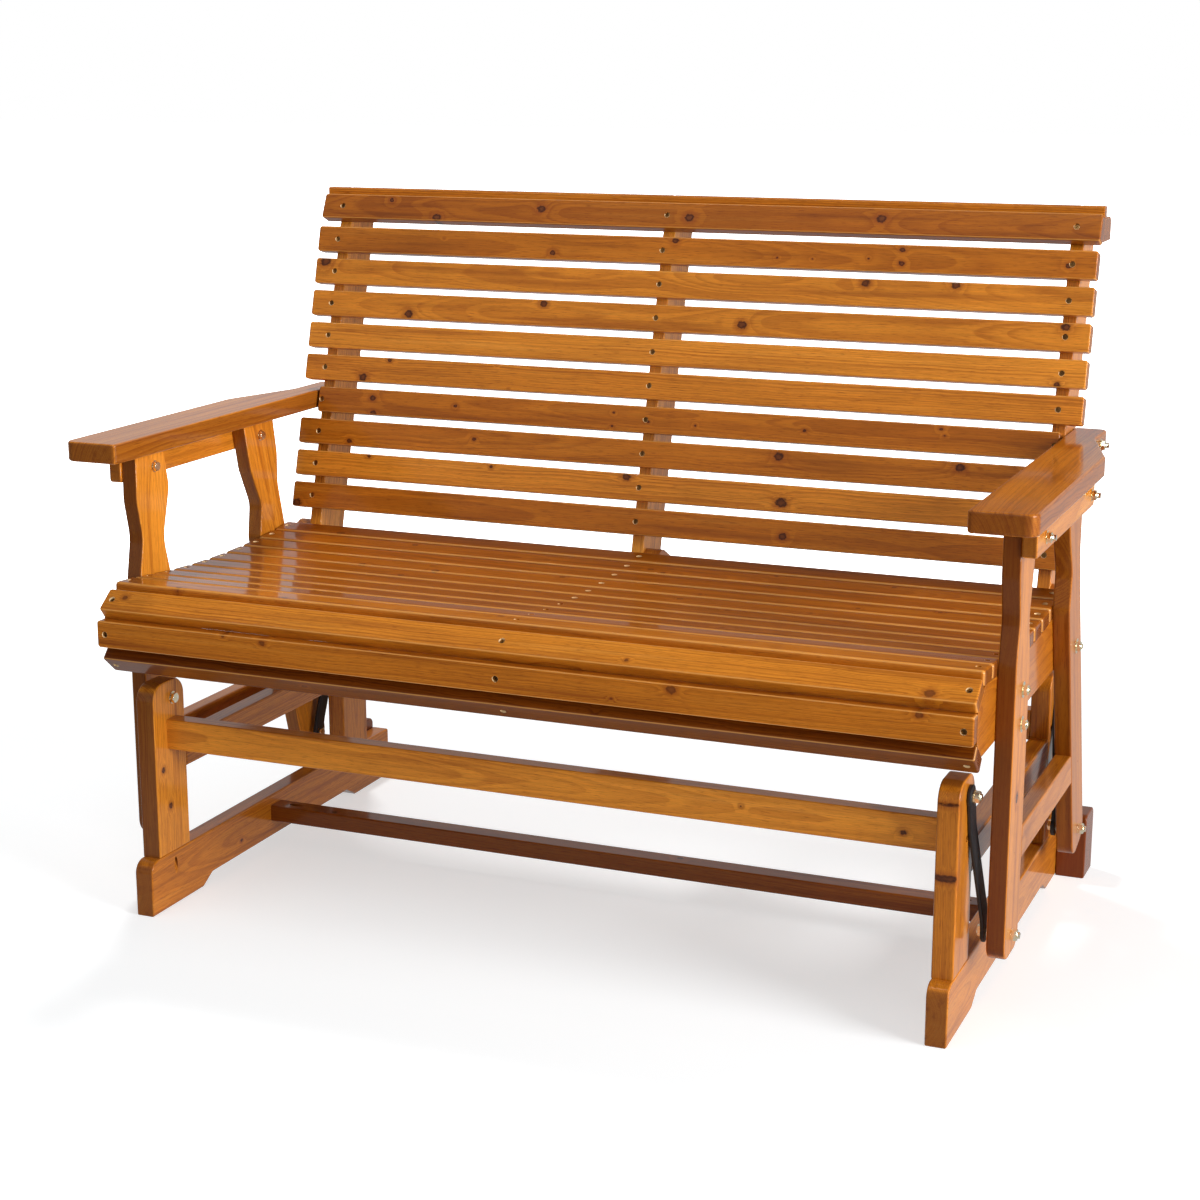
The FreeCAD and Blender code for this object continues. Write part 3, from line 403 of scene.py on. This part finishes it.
class StainedWood(Finish):
    """Stained softwood on one board, measured in millimetres from the board's middle."""

    def __init__(self, name, mesh):
        super().__init__(name)
        self.chance = random.Random(name)
        self.tone = self.chance.uniform(*TONE)
        middle, self.turn = grain_frame(mesh)
        place = self.node("TexCoord", None, None, "Object")
        self.board = self.node("Mapping", {"vector_type": "TEXTURE"},
                               {"Vector": place, "Location": middle, "Rotation": self.turn,
                                "Scale": (MILLIMETRE,) * 3})
        shift = tuple(self.chance.uniform(-APART, APART) for _ in range(3))
        self.shifted = self.vector("ADD", self.board, shift)

    def nearest_knot(self, knots):
        """How far the closest knot is, in its own radii. A knot is drawn out along the board."""
        flat = self.vector("MULTIPLY", self.board, (KNOT_DRAWN_OUT, 1, KNOT_THROUGH))
        nearest = self.maths("ADD", NO_KNOT, 0)
        for along, across, radius in knots:
            gap = self.measure("DISTANCE", flat, (along * KNOT_DRAWN_OUT, across, 0)) / radius
            nearest = nearest.maths("MINIMUM", gap)
        return nearest + (self.noise(self.shifted, KNOT_RAGGED, detail=3, roughness=0.6) - 0.5) * KNOT_WOBBLE

    def late_wood(self, nearest):
        """The late wood of uneven growth rings, bent round the knots, and how strongly it shows."""
        chance = self.chance
        flat_sawn = chance.random() < FLAT_SAWN_SHARE
        if flat_sawn:
            pith_across = chance.uniform(*PITH_UNDER)
            pith_depth = chance.uniform(*PITH_UNDER_DEPTH)
        else:
            pith_across = chance.choice((-1, 1)) * chance.uniform(*PITH_BESIDE)
            pith_depth = chance.uniform(*PITH_BESIDE_DEPTH)
        taper = chance.uniform(*TAPER) * chance.choice((-1, 1))
        ring_width = chance.uniform(*RING_WIDTH)
        drift = (self.noise(self.shifted, RING_DRIFT) - 0.5) * DRIFT_WIDTH
        sway = (self.noise(self.shifted, RING_SWAY) - 0.5) * SWAY_WIDTH
        across = self.axis(self.board, "Y") - pith_across + sway
        through = self.axis(self.board, "Z") + pith_depth + drift + self.axis(self.board, "X") * taper
        radius = self.measure("LENGTH", self.node("CombineXYZ", None, {0: across, 1: through, 2: 0.0}))
        bulge = (nearest * nearest * -BULGE_FALL).maths("EXPONENT") * BULGE_HEIGHT
        uneven = self.node("TexNoise", {"noise_dimensions": "1D"},
                           {"W": radius * WIDTH_CHANGE, "Scale": 1.0, "Detail": 2.0})
        ring = ((radius + bulge) / ring_width + uneven * WIDTH_SPREAD).maths("FRACT")
        late = self.step(ring, *LATE_WOOD_REACH) * (1 - self.step(ring, *RING_END_REACH))
        most = FLAT_SAWN_RINGS if flat_sawn else QUARTER_SAWN_RINGS
        return late, FAINTEST_RING + self.noise(self.shifted, RING_FADE) * most

    def stained(self, rings, fibre, pore, depth, red):
        """Early and late wood under the stain, with dark and pale streaks, pores and fibres."""
        streak = self.noise(self.shifted, STREAKS, detail=3, roughness=0.55)
        blotch = self.noise(self.shifted, BLOTCHES)
        dark = deeper(DARK_STREAK, depth)
        colour = self.mix(rings, deeper(EARLY_WOOD, depth), deeper(LATE_WOOD, depth))
        colour = self.lay(colour, dark, streak, low=0.5, high=0.74, share=0.5)
        colour = self.lay(colour, deeper(PALE_STREAK, depth), streak, low=0.46, high=0.24, share=0.3)
        colour = self.lay(colour, dark, pore, low=0.54, high=0.72, share=0.6)
        colour = self.dim(colour, (blotch - 0.5) * BLOTCH_LIGHT + (fibre - 0.5) * FIBRE_LIGHT + 1)
        return self.mix(red, colour, RED_STAIN) if red else colour

    def knotted(self, colour, nearest, core, knot_dark):
        """Darken the wood round each knot, and give the knot a dark rim and a browner heart."""
        colour = self.lay(colour, KNOT_HALO, nearest, *HALO_REACH, HALO_SHARE)
        colour = self.mix(core * knot_dark, colour, KNOT_RIM)
        return self.mix(core * self.step(nearest, *HEART_REACH) * HEART_SHARE, colour, KNOT_HEART)

    def facing(self, axis):
        """How squarely the surface faces along one of the board's axes."""
        grain_way = Matrix.Identity(3)
        grain_way.rotate(self.turn)
        outward = self.node("TexCoord", None, None, "Normal")
        return self.measure("DOT_PRODUCT", outward, tuple(grain_way.col[axis])).maths("ABSOLUTE")

    def edged(self, colour, worn_and_highlit, edge_shade):
        """Paint the rounded slat edges pale, partly as wear and partly as a painted highlight, or else darken
        the thin edges, partly as a darker stain and partly as painted shade.
        """
        sides = self.facing(1)
        if worn_and_highlit:
            rounding = self.step(sides, *ROUNDING_START) * self.step(sides, *ROUNDING_END)
            return self.mix(rounding * WORN_AND_HIGHLIGHT_SHARE, colour, WORN_EDGE_AND_HIGHLIGHT)
        return self.lay(colour, EDGE_STAIN_AND_SHADE, sides, *EDGE_REACH, edge_shade)

    def bored(self, colour, holes):
        """Bare wood inside the screw holes along the middle of a slat."""
        face = self.vector("MULTIPLY", self.board, (1, 1, 0))
        for along in holes:
            gap = self.measure("DISTANCE", face, (along, 0, 0))
            colour = self.mix(gap.maths("LESS_THAN", SCREW_HOLE), colour, BARE_WOOD)
        return colour


def varnished_board(name, mesh, knots, knot_dark, depth, red, edge_shade, holes):
    """Stained softwood under a clear varnish, with knots, darker end grain and, on slats, screw holes."""
    wood = StainedWood(name, mesh)
    nearest = wood.nearest_knot(knots)
    core = wood.step(nearest, *RIM_REACH)
    late, strength = wood.late_wood(nearest)
    fibre = wood.noise(wood.shifted, FIBRES, detail=3, roughness=0.65)
    pore = wood.noise(wood.shifted, PORES, roughness=0.6)
    end = wood.step(wood.facing(0), *END_REACH)
    colour = wood.stained(late * strength, fibre, pore, depth * wood.tone, red)
    colour = wood.knotted(colour, nearest, core, knot_dark)
    colour = wood.edged(colour, holes, edge_shade)
    colour = wood.dim(wood.mix(end * END_SHARE, colour, END_GRAIN), 1 - end * END_SHADE)
    colour = wood.bored(colour, holes)
    height = late * LATE_WOOD_RISE + fibre * FIBRE_RISE + pore * PORE_RISE - core * KNOT_FALL
    roughness = VARNISHED + fibre * FIBRE_ROUGHNESS + end * END_ROUGHNESS
    return wood.surface(Base_Color=colour, Roughness=roughness, Normal=wood.bump(height, GRAIN_HEIGHT),
                        Specular_IOR_Level=0.1, Coat_Weight=1.0, Coat_IOR=1.29, Coat_Roughness=0.1)


# How deep the stain is, how red, how dark the knots are, and how much darker the thin edges are.
# The depths also paint light and shade: a thinner stain makes lit boards such as the back posts and the front
# left leg paler, and a deeper one darkens the seat and the lowest roll slat as painted shade. The darker thin
# edges are partly a darker stain and partly painted shade.
DEPTH_AND_PAINTED_LIGHT = {"back_slat_1": 1.38, "back_slat_2": 1.17, "back_slat_3": 0.88, "back_slat_4": 0.95,
         "back_slat_5": 0.84, "back_slat_6": 0.95, "back_slat_7": 1.26, "back_slat_8": 1.16,
         "back_slat_9": 0.8, "back_slat_10": 1.22, "seat_slat_10": 1.14,
         "roll_slat_1": 0.94, "roll_slat_2": 1.13, "roll_slat_3": 1.8,
         "front_left_leg": 0.72, "rear_left_leg": 0.92, "front_left_post": 0.87, "front_right_post": 1.1,
         "front_stretcher": 0.8, "left_back_post": 0.68, "centre_back_post": 0.62, "right_back_post": 0.98,
         "arm_rails": 0.85, "right_armrest": 1.25, "left_armrest": 1.0, "right_seat_support": 1.2,
         "rear_right_leg": 1.2}
SEAT_DEPTH_AND_SHADE = 1.48
FRAME_DEPTH = 1.08
REDNESS = {"lower_stretcher": 0.65, "rear_foot_blocks": 0.85, "back_top_rail": 0.15}
SEAT_KNOTS = 0.65
FRAME_KNOTS = 0.95
EDGE_SHADE = {"front_left_leg": 0.85, "front_left_post": 0.8, "rear_left_leg": 0.6, "front_right_leg": 0.85,
              "rear_right_leg": 0.5, "left_armrest": 0.5, "right_armrest": 0.35, "left_back_post": 0.0,
              "centre_back_post": 0.0, "right_back_post": 0.0}
PLAIN_EDGE = 0.15


def screw_holes(node):
    """How far along a slat its screw holes lie, in millimetres: one over each board that carries it."""
    if "slat" not in node:
        return []
    carrier = "back_post" if node.startswith("back") else "seat_support"
    boxes = [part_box(f"{side}_{carrier}") for side in ("left", "centre", "right")]
    return [(low.x + high.x) / 2 / MILLIMETRE for low, high in boxes]


def dress_boards():
    for node, slot in slot_of.items():
        if not slot.endswith("wood"):
            continue
        piece = clean_double(node, node + "_board")
        on_seat = node.startswith(("seat", "roll"))
        knot_dark = SEAT_KNOTS if on_seat else FRAME_KNOTS
        # The depth is the board's stain, and on some boards it also paints light and shade.
        depth = DEPTH_AND_PAINTED_LIGHT.get(node, SEAT_DEPTH_AND_SHADE if on_seat else FRAME_DEPTH)
        edge_shade = EDGE_SHADE.get(node, PLAIN_EDGE)
        finish = varnished_board(node + "_wood", piece.data, KNOTS.get(node, ()), knot_dark, depth,
                                 REDNESS.get(node, 0.0), edge_shade, screw_holes(node))
        put_in_place(piece, node, slot, finish)


dress_boards()


# Metal. How fast a noise changes is in turns a metre, and the bevels are in metres.
GRIT = (1800, 1800, 1800)
WEAR = (40, 40, 40)
FILM = (160, 160, 160)
FILM_REACH = (0.35, 0.65)
GRIT_HEIGHT = 0.0002
POWDER_ROUGHNESS = 0.34
GRIT_ROUGHNESS = 0.2
FILM_ROUGHNESS = 0.12
SOFT_EDGES = {"black_steel": 0.0015, "bolts": 0.0003, "screws": 0.0003}


def black_powder_coat():
    finish = Finish("black_powder_coat")
    place = finish.node("TexCoord", None, None, "Object")
    grit = finish.noise(place, GRIT)
    wear = finish.noise(place, WEAR, detail=3)
    colour = finish.mix(wear, stain(20, 20, 22), stain(38, 38, 40))
    return finish.surface(Base_Color=colour, Roughness=POWDER_ROUGHNESS + grit * GRIT_ROUGHNESS,
                          Normal=finish.bump(grit, GRIT_HEIGHT), Specular_IOR_Level=0.5)


def plating(name, thin, thick, roughness):
    """A metal plate whose coloured film comes and goes."""
    finish = Finish(name)
    place = finish.node("TexCoord", None, None, "Object")
    film = finish.noise(place, FILM, detail=3)
    colour = finish.mix(finish.step(film, *FILM_REACH), thin, thick)
    return finish.surface(Base_Color=colour, Metallic=1.0, Roughness=roughness + film * FILM_ROUGHNESS)


# A thread's ridge starts and ends at its feet and peaks at its crest, in shares of the pitch
THREAD_PITCH = 0.00125
THREAD_HEIGHT = 0.00035
THREAD_SUNK = 0.0001
THREAD_FEET = (0.05, 0.85)
THREAD_CREST = 0.45
THREAD_SIDES = 24
LONG_PIECE = 0.02
END_FACE = 0.0001
SAME_AXIS = 0.002


def loose_parts(shape):
    """The separate solids of a mesh, each as a list of its points."""
    left = set(shape.verts)
    parts = []
    while left:
        start = left.pop()
        part = [start]
        for vertex in part:
            for edge in vertex.link_edges:
                other = edge.other_vert(vertex)
                if other in left:
                    left.remove(other)
                    part.append(other)
        parts.append([vertex.co.copy() for vertex in part])
    return parts


def bolt_ends(shape):
    """Where each bolt stands out of its nut: the end of its axis, its radius and how far it stands out."""
    parts = [(part, max(part, key=lambda point: abs(point.x)).x) for part in loose_parts(shape)]
    for part, end in parts:
        if max(point.x for point in part) - min(point.x for point in part) < LONG_PIECE:
            continue
        tip = [point for point in part if abs(point.x - end) < END_FACE]
        axis = sum(tip, Vector()) / len(tip)
        radius = (tip[0] - axis).length
        beside = [abs(other_end) for other, other_end in parts
                  if other_end * end > 0 and abs(other_end) < abs(end)
                  and any((point.yz - axis.yz).length < radius + SAME_AXIS for point in other)]
        yield axis, radius, abs(end) - max(beside)


def cut_threads(mesh):
    """Wind a thread on the free end of each bolt."""
    shape = bmesh.new()
    shape.from_mesh(mesh)
    first_foot, last_foot = THREAD_FEET
    ridge = ((first_foot, -THREAD_SUNK), (THREAD_CREST, THREAD_HEIGHT), (last_foot, -THREAD_SUNK))
    for axis, radius, free in list(bolt_ends(shape)):
        way = math.copysign(1, axis.x)
        turns = max(1, int(free / THREAD_PITCH) - 1)
        start = axis.x - way * free
        corners = [shape.verts.new((start + way * THREAD_PITCH * along, axis.y, axis.z + radius + rise))
                   for along, rise in ridge]
        face = shape.faces.new(corners)
        bmesh.ops.spin(shape, geom=[face], cent=axis, axis=(1, 0, 0),
                       dvec=(way * THREAD_PITCH / THREAD_SIDES, 0, 0),
                       angle=turns * math.tau, steps=turns * THREAD_SIDES)
    bmesh.ops.recalc_face_normals(shape, faces=shape.faces)
    shape.to_mesh(mesh)
    shape.free()


def dress_metal():
    coats = {
        "black_steel": black_powder_coat(),
        "bolts": plating("yellow_zinc", stain(255, 250, 228), stain(250, 234, 196), roughness=0.12),
        "screws": plating("bronze_coat", stain(150, 112, 66), stain(110, 78, 44), roughness=0.28),
    }
    for node, slot in slot_of.items():
        if slot not in coats:
            continue
        piece = clean_double(node, node + "_metal", SOFT_EDGES[slot])
        if slot == "bolts":
            cut_threads(piece.data)
        put_in_place(piece, node, slot, coats[slot])


dress_metal()


# Floor and room. Strengths are shares of white. A reach is where a light starts and where it is full.
WHITE = (1, 1, 1, 1)
BLACK = (0, 0, 0, 1)
FLOOR_PAINT = (0.775, 0.8, 0.815, 1)
FLOOR_GLOW = 2.7
GLOW_UNDER_BENCH = 0.2
SHADE_REACH = (1.3, 2.2)
FLOOR_HALF = 30
FLOOR_DROP = 0.0005
DARK_FRONT = 0.06
FLOOR_SHINE = 0.4
FLOOR_TURN = 0.3
FLOOR_SHINE_REACH = (-1.5, -0.8)
ROOM_SHINE = 0.45
ROOM_TURN = 0.35
ROOM_SHINE_REACH = (-0.3, 0.3)
ROOM_FILL = 0.18


def pale_floor():
    """A white floor that takes the bench's shadow and is pure white around it. Gloss sees it dim in front."""
    finish = Finish("pale_floor")
    ground = finish.node("BsdfDiffuse", None, {"Color": FLOOR_PAINT})
    glow = finish.node("Emission", None, {"Color": WHITE, "Strength": FLOOR_GLOW})
    seen = finish.node("LightPath", None, None, "Is Camera Ray")
    place = finish.node("TexCoord", None, None, "Object")
    away = finish.step(finish.measure("LENGTH", place), *SHADE_REACH)
    white = seen * (GLOW_UNDER_BENCH + away * (1 - GLOW_UNDER_BENCH))
    shader = finish.node("MixShader", None, {0: white, 1: ground, 2: glow})
    behind = finish.axis(place, "Y") + finish.axis(place, "X") * FLOOR_TURN
    shine = finish.step(behind, *FLOOR_SHINE_REACH) * FLOOR_SHINE + DARK_FRONT
    mirrored = finish.node("Emission", None, {"Color": finish.mix(shine, BLACK, WHITE), "Strength": 1.0})
    gloss = finish.node("LightPath", None, None, "Is Glossy Ray")
    shader = finish.node("MixShader", None, {0: gloss, 1: shader, 2: mirrored})
    finish.node("OutputMaterial", None, {"Surface": shader})
    return finish.material


def lay_floor():
    shape = bmesh.new()
    bmesh.ops.create_grid(shape, x_segments=1, y_segments=1, size=FLOOR_HALF)
    mesh = bpy.data.meshes.new("floor")
    shape.to_mesh(mesh)
    shape.free()
    mesh.materials.append(pale_floor())
    floor = bpy.data.objects.new("floor", mesh)
    floor.location.z = -FLOOR_DROP
    bpy.context.scene.collection.objects.link(floor)


def white_room():
    """White where the camera looks. Gloss sees it bright behind and beside the bench, and dim in front."""
    world = bpy.data.worlds.new("studio")
    sky = Shading(world)
    way = sky.node("TexCoord", None, None, "Generated")
    behind = sky.axis(way, "Y") + sky.axis(way, "X") * ROOM_TURN
    shine = DARK_FRONT + sky.step(behind, *ROOM_SHINE_REACH) * ROOM_SHINE
    gloss = sky.node("LightPath", None, None, "Is Glossy Ray")
    clear = sky.node("LightPath", None, None, "Is Transmission Ray")
    seen = sky.node("LightPath", None, None, "Is Camera Ray").maths("MAXIMUM", clear)
    strength = seen + (1 - seen) * (gloss * shine + (1 - gloss) * ROOM_FILL)
    light = sky.node("Background", None, {"Color": WHITE, "Strength": strength})
    sky.node("OutputWorld", None, {"Surface": light})
    bpy.context.scene.world = world


# Lamps, placed and sized in metres, with their energy in watts
def lamp(kind, name, way, energy):
    """A lamp that shines the given way."""
    data = bpy.data.lights.new(name, kind)
    data.energy = energy
    holder = bpy.data.objects.new(name, data)
    holder.rotation_euler = Vector(way).to_track_quat("-Z", "Y").to_euler()
    bpy.context.scene.collection.objects.link(holder)
    return holder


def softbox(name, place, target, width, depth, energy, mirrored=True):
    holder = lamp("AREA", name, Vector(target) - Vector(place), energy)
    holder.location = place
    holder.data.shape = "RECTANGLE"
    holder.data.size = width
    holder.data.size_y = depth
    holder.visible_glossy = mirrored


def sunlight(name, way, energy, softness):
    """A far lamp, with its energy in watts a square metre and its softness in degrees."""
    lamp("SUN", name, way, energy).data.angle = math.radians(softness)


lay_floor()
white_room()
softbox("key", place=(5.6, -1.3, 1.9), target=(-0.2, 0, 0.45), width=3.0, depth=3.0, energy=425)
softbox("strip", place=(-0.5, -1.15, 2.9), target=(0, 0.1, 0.45), width=3.0, depth=0.12, energy=12)
softbox("overhead", place=(-1.1, 1.1, 3.0), target=(0.0, 0.2, 0), width=0.4, depth=0.4, energy=42,
        mirrored=False)
sunlight("front", way=(0.25, 1.0, -0.3), energy=0.6, softness=90)
bpy.context.scene.view_settings.view_transform = "Standard"
